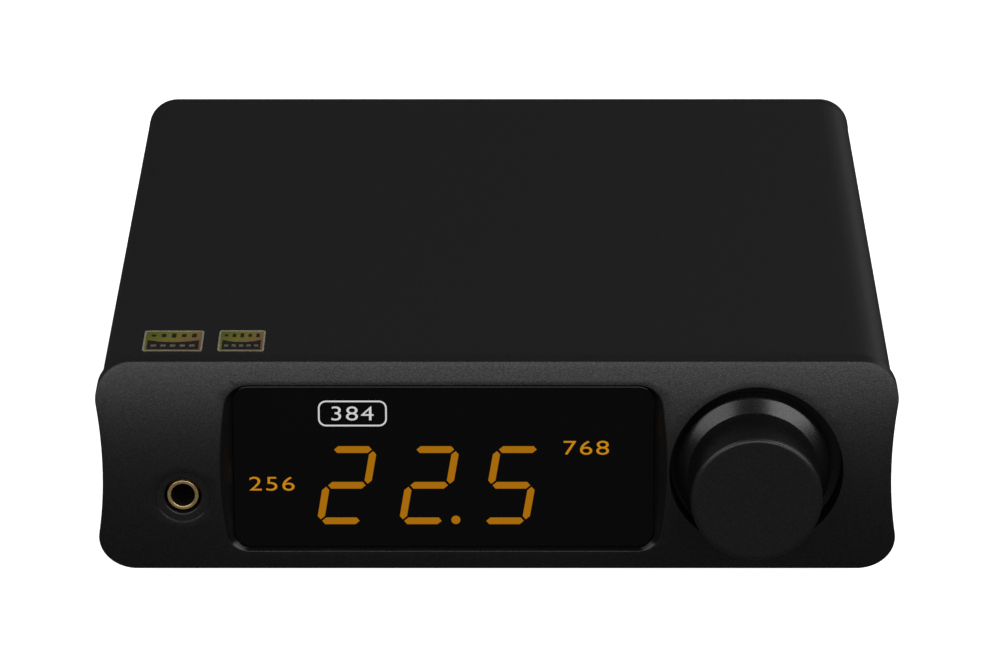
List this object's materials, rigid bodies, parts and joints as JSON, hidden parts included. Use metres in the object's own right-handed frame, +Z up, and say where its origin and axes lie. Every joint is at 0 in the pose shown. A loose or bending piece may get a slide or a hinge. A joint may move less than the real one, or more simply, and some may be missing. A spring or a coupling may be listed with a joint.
{
  "type": "desktop digital-to-analogue converter",
  "caption": "Small desktop audio converter and headphone amplifier in an extruded black metal case, with a crowned front plate, smoked display window, large volume knob and rear sockets.",
  "frame": {"origin": "on the surface that the feet rest on, under the middle of the overall box", "axes": "+X to the user's right as the front is seen, +Y from the front plate to the rear sockets, +Z up"},
  "size_m": [0.12, 0.1452, 0.037],
  "materials": {
    "anodised_black": "bead-blasted, black anodised, fine grain",
    "smoked_window": "polished, smoked black",
    "display_amber": "amber light-emitting bars",
    "legend_white": "white lit legend frame",
    "black_plastic": "moulded, fine texture",
    "white_plastic": "moulded",
    "red_plastic": "moulded",
    "orange_plastic": "moulded",
    "gold_plate": "gold-plated, polished",
    "bright_steel": "nickel-plated",
    "black_steel": "black oxide",
    "can_aluminium": "satin",
    "circuit_board": "solder-mask green",
    "foot_rubber": "matt",
    "label_foil": "diffractive gold foil"
  },
  "bodies": {
    "root": {"front_plate": "anodised_black", "case_sleeve": "anodised_black", "rear_plate": "anodised_black", "rear_screw_1": "black_steel", "rear_screw_2": "black_steel", "rear_screw_3": "black_steel", "rear_screw_4": "black_steel", "front_screw_left": "black_steel", "front_screw_right": "black_steel", "foot_1": "foot_rubber", "foot_2": "foot_rubber", "foot_3": "foot_rubber", "foot_4": "foot_rubber", "label_left": "label_foil", "label_right": "label_foil", "window_lens": "smoked_window", "display_module": "display_amber", "ir_receiver": "black_plastic", "jack_body": "black_plastic", "optical_socket": "black_plastic", "power_inlet": "black_plastic", "usb_insert": "black_plastic", "input_processor": "black_plastic", "converter_chip": "black_plastic", "headphone_amplifier": "black_plastic", "line_amplifier": "black_plastic", "power_inductor": "black_plastic", "board_header": "black_plastic", "front_board": "circuit_board", "main_board": "circuit_board", "encoder_body": "bright_steel", "encoder_washer": "bright_steel", "encoder_nut": "bright_steel", "usb_shell": "bright_steel", "power_pin": "bright_steel", "clock_oscillator": "bright_steel", "line_left_housing": "white_plastic", "antenna_insulator": "white_plastic", "line_right_housing": "red_plastic", "coaxial_housing": "orange_plastic", "jack_ring": "gold_plate", "jack_contact": "gold_plate", "line_left_shell": "gold_plate", "line_left_contact": "gold_plate", "line_right_shell": "gold_plate", "line_right_contact": "gold_plate", "coaxial_shell": "gold_plate", "coaxial_contact": "gold_plate", "antenna_connector": "gold_plate", "antenna_nut": "gold_plate", "wireless_shield": "can_aluminium", "capacitor_1": "can_aluminium", "capacitor_2": "can_aluminium", "capacitor_3": "can_aluminium", "capacitor_4": "can_aluminium"},
    "knob_plunger": {"encoder_plunger": "white_plastic"},
    "knob": {"knob": "anodised_black", "encoder_shaft": "bright_steel"},
    "optical_shutter": {"optical_shutter": "black_plastic"}
  },
  "joints": [
    {"name": "knob_press", "type": "slide", "parent": "root", "child": "knob_plunger", "axis": [0, 1, 0], "range_m": [0, 0.0006], "stiffness_N_per_m": 2500, "springref_m": -0.0006},
    {"name": "knob_spin", "type": "hinge", "parent": "knob_plunger", "child": "knob", "pos_m": [0.03845, -0.0619, 0.02005], "axis": [0, -1, 0], "continuous": true},
    {"name": "shutter_swing", "type": "hinge", "parent": "root", "child": "optical_shutter", "pos_m": [-0.012, 0.0638, 0.0228], "axis": [-1, 0, 0], "range_deg": [0, 85], "stiffness_Nm_per_rad": 0.002, "springref_deg": -17.19}
  ]
}
